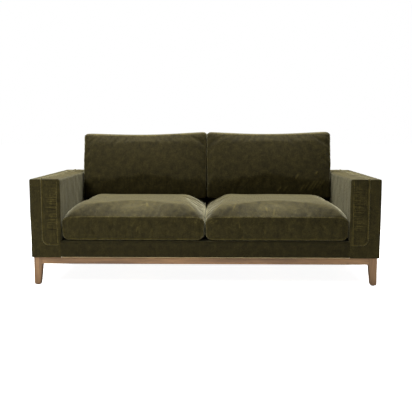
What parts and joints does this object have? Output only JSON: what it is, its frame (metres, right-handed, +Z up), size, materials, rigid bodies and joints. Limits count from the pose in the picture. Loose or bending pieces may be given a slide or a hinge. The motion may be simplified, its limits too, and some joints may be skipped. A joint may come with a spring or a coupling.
{
  "type": "sofa",
  "caption": "Sofa with box arms, loose seat and back cushions in velvet, and an oak base with tapered corner legs.",
  "frame": {"origin": "on the floor, below the middle of the sofa", "axes": "+Z up, -Y out of the front of the sofa, +X to the right of someone who looks at the front"},
  "size_m": [2.13, 0.985, 0.935],
  "materials": {
    "velvet": "crushed velvet with a short shiny pile, dark olive green",
    "oak": "oak with a satin clear lacquer",
    "glide_plastic": "moulded nylon",
    "softwood": "planed pine, unfinished",
    "beech_dowel": "fluted beech, unfinished",
    "zinc_steel": "zinc-plated steel",
    "spring_steel": "oil-tempered spring steel",
    "paper_wire": "steel wire wrapped in twisted paper",
    "dust_cloth": "thin black non-woven cloth",
    "felt": "needled fibre felt",
    "deck_cloth": "plain woven lining cloth",
    "foam": "polyurethane foam",
    "plywood": "plywood, unfinished",
    "hardboard": "hardboard, smooth outside",
    "wadding": "polyester wadding",
    "webbing": "woven jute and rubber webbing",
    "cushion_fibre": "foam core wrapped in polyester fibre",
    "zip_tape": "woven zip tape with nylon teeth",
    "zip_metal": "antiqued brass"
  },
  "bodies": {
    "frame": {"leg_front_left": "oak", "leg_front_right": "oak", "leg_back_left": "oak", "leg_back_right": "oak", "leg_glides": "glide_plastic", "base_rail_front": "oak", "base_rail_back": "oak", "base_rail_left": "oak", "base_rail_right": "oak", "base_cross_boards": "softwood", "base_dowels": "beech_dowel", "base_corner_blocks": "softwood", "leg_bolts": "zinc_steel", "base_screws": "zinc_steel", "dust_cover": "dust_cloth", "seat_long_rails": "softwood", "seat_side_rails": "softwood", "seat_stretchers": "softwood", "glue_blocks": "softwood", "seat_springs": "spring_steel", "spring_clips": "zinc_steel", "spring_tie_wires": "paper_wire", "deck_pad": "felt", "deck_cloth": "deck_cloth", "front_foam": "foam", "front_cover": "velvet", "arm_bolts": "zinc_steel", "arm_posts": "softwood", "arm_rails": "softwood", "arm_inner_panels": "plywood", "outer_panels": "hardboard", "arm_wadding": "wadding", "arm_pad_foam": "foam", "arm_outer_cover_left": "velvet", "arm_outer_cover_right": "velvet", "arm_pad_cover_left": "velvet", "arm_pad_cover_right": "velvet", "back_posts": "softwood", "back_rails": "softwood", "back_webbing": "webbing", "back_foam": "foam", "back_wadding": "wadding", "back_inner_cover": "velvet", "back_outer_cover": "velvet"},
    "seat_cushion_left": {"seat_cushion_cover_left": "velvet", "seat_cushion_filling_left": "cushion_fibre", "seat_zip_left": "zip_tape"},
    "back_cushion_left": {"back_cushion_cover_left": "velvet", "back_cushion_filling_left": "cushion_fibre", "back_zip_left": "zip_tape"},
    "seat_zip_pull_left": {"seat_zip_slider_left": "zip_metal"},
    "back_zip_pull_left": {"back_zip_slider_left": "zip_metal"},
    "seat_cushion_right": {"seat_cushion_cover_right": "velvet", "seat_cushion_filling_right": "cushion_fibre", "seat_zip_right": "zip_tape"},
    "back_cushion_right": {"back_cushion_cover_right": "velvet", "back_cushion_filling_right": "cushion_fibre", "back_zip_right": "zip_tape"},
    "seat_zip_pull_right": {"seat_zip_slider_right": "zip_metal"},
    "back_zip_pull_right": {"back_zip_slider_right": "zip_metal"}
  },
  "joints": [
    {"name": "seat_cushion_left_lift", "type": "slide", "parent": "frame", "child": "seat_cushion_left", "axis": [0, 0, 1], "range_m": [0, 0.4]},
    {"name": "back_cushion_left_lift", "type": "slide", "parent": "seat_cushion_left", "child": "back_cushion_left", "axis": [0, 0, 1], "range_m": [0, 0.25]},
    {"name": "seat_zip_left_slide", "type": "slide", "parent": "seat_cushion_left", "child": "seat_zip_pull_left", "axis": [1, 0, 0], "range_m": [0, 0.66]},
    {"name": "back_zip_left_slide", "type": "slide", "parent": "back_cushion_left", "child": "back_zip_pull_left", "axis": [1, 0, 0], "range_m": [0, 0.66]},
    {"name": "seat_cushion_right_lift", "type": "slide", "parent": "frame", "child": "seat_cushion_right", "axis": [0, 0, 1], "range_m": [0, 0.4]},
    {"name": "back_cushion_right_lift", "type": "slide", "parent": "seat_cushion_right", "child": "back_cushion_right", "axis": [0, 0, 1], "range_m": [0, 0.25]},
    {"name": "seat_zip_right_slide", "type": "slide", "parent": "seat_cushion_right", "child": "seat_zip_pull_right", "axis": [-1, 0, 0], "range_m": [0, 0.66]},
    {"name": "back_zip_right_slide", "type": "slide", "parent": "back_cushion_right", "child": "back_zip_pull_right", "axis": [-1, 0, 0], "range_m": [0, 0.66]}
  ]
}
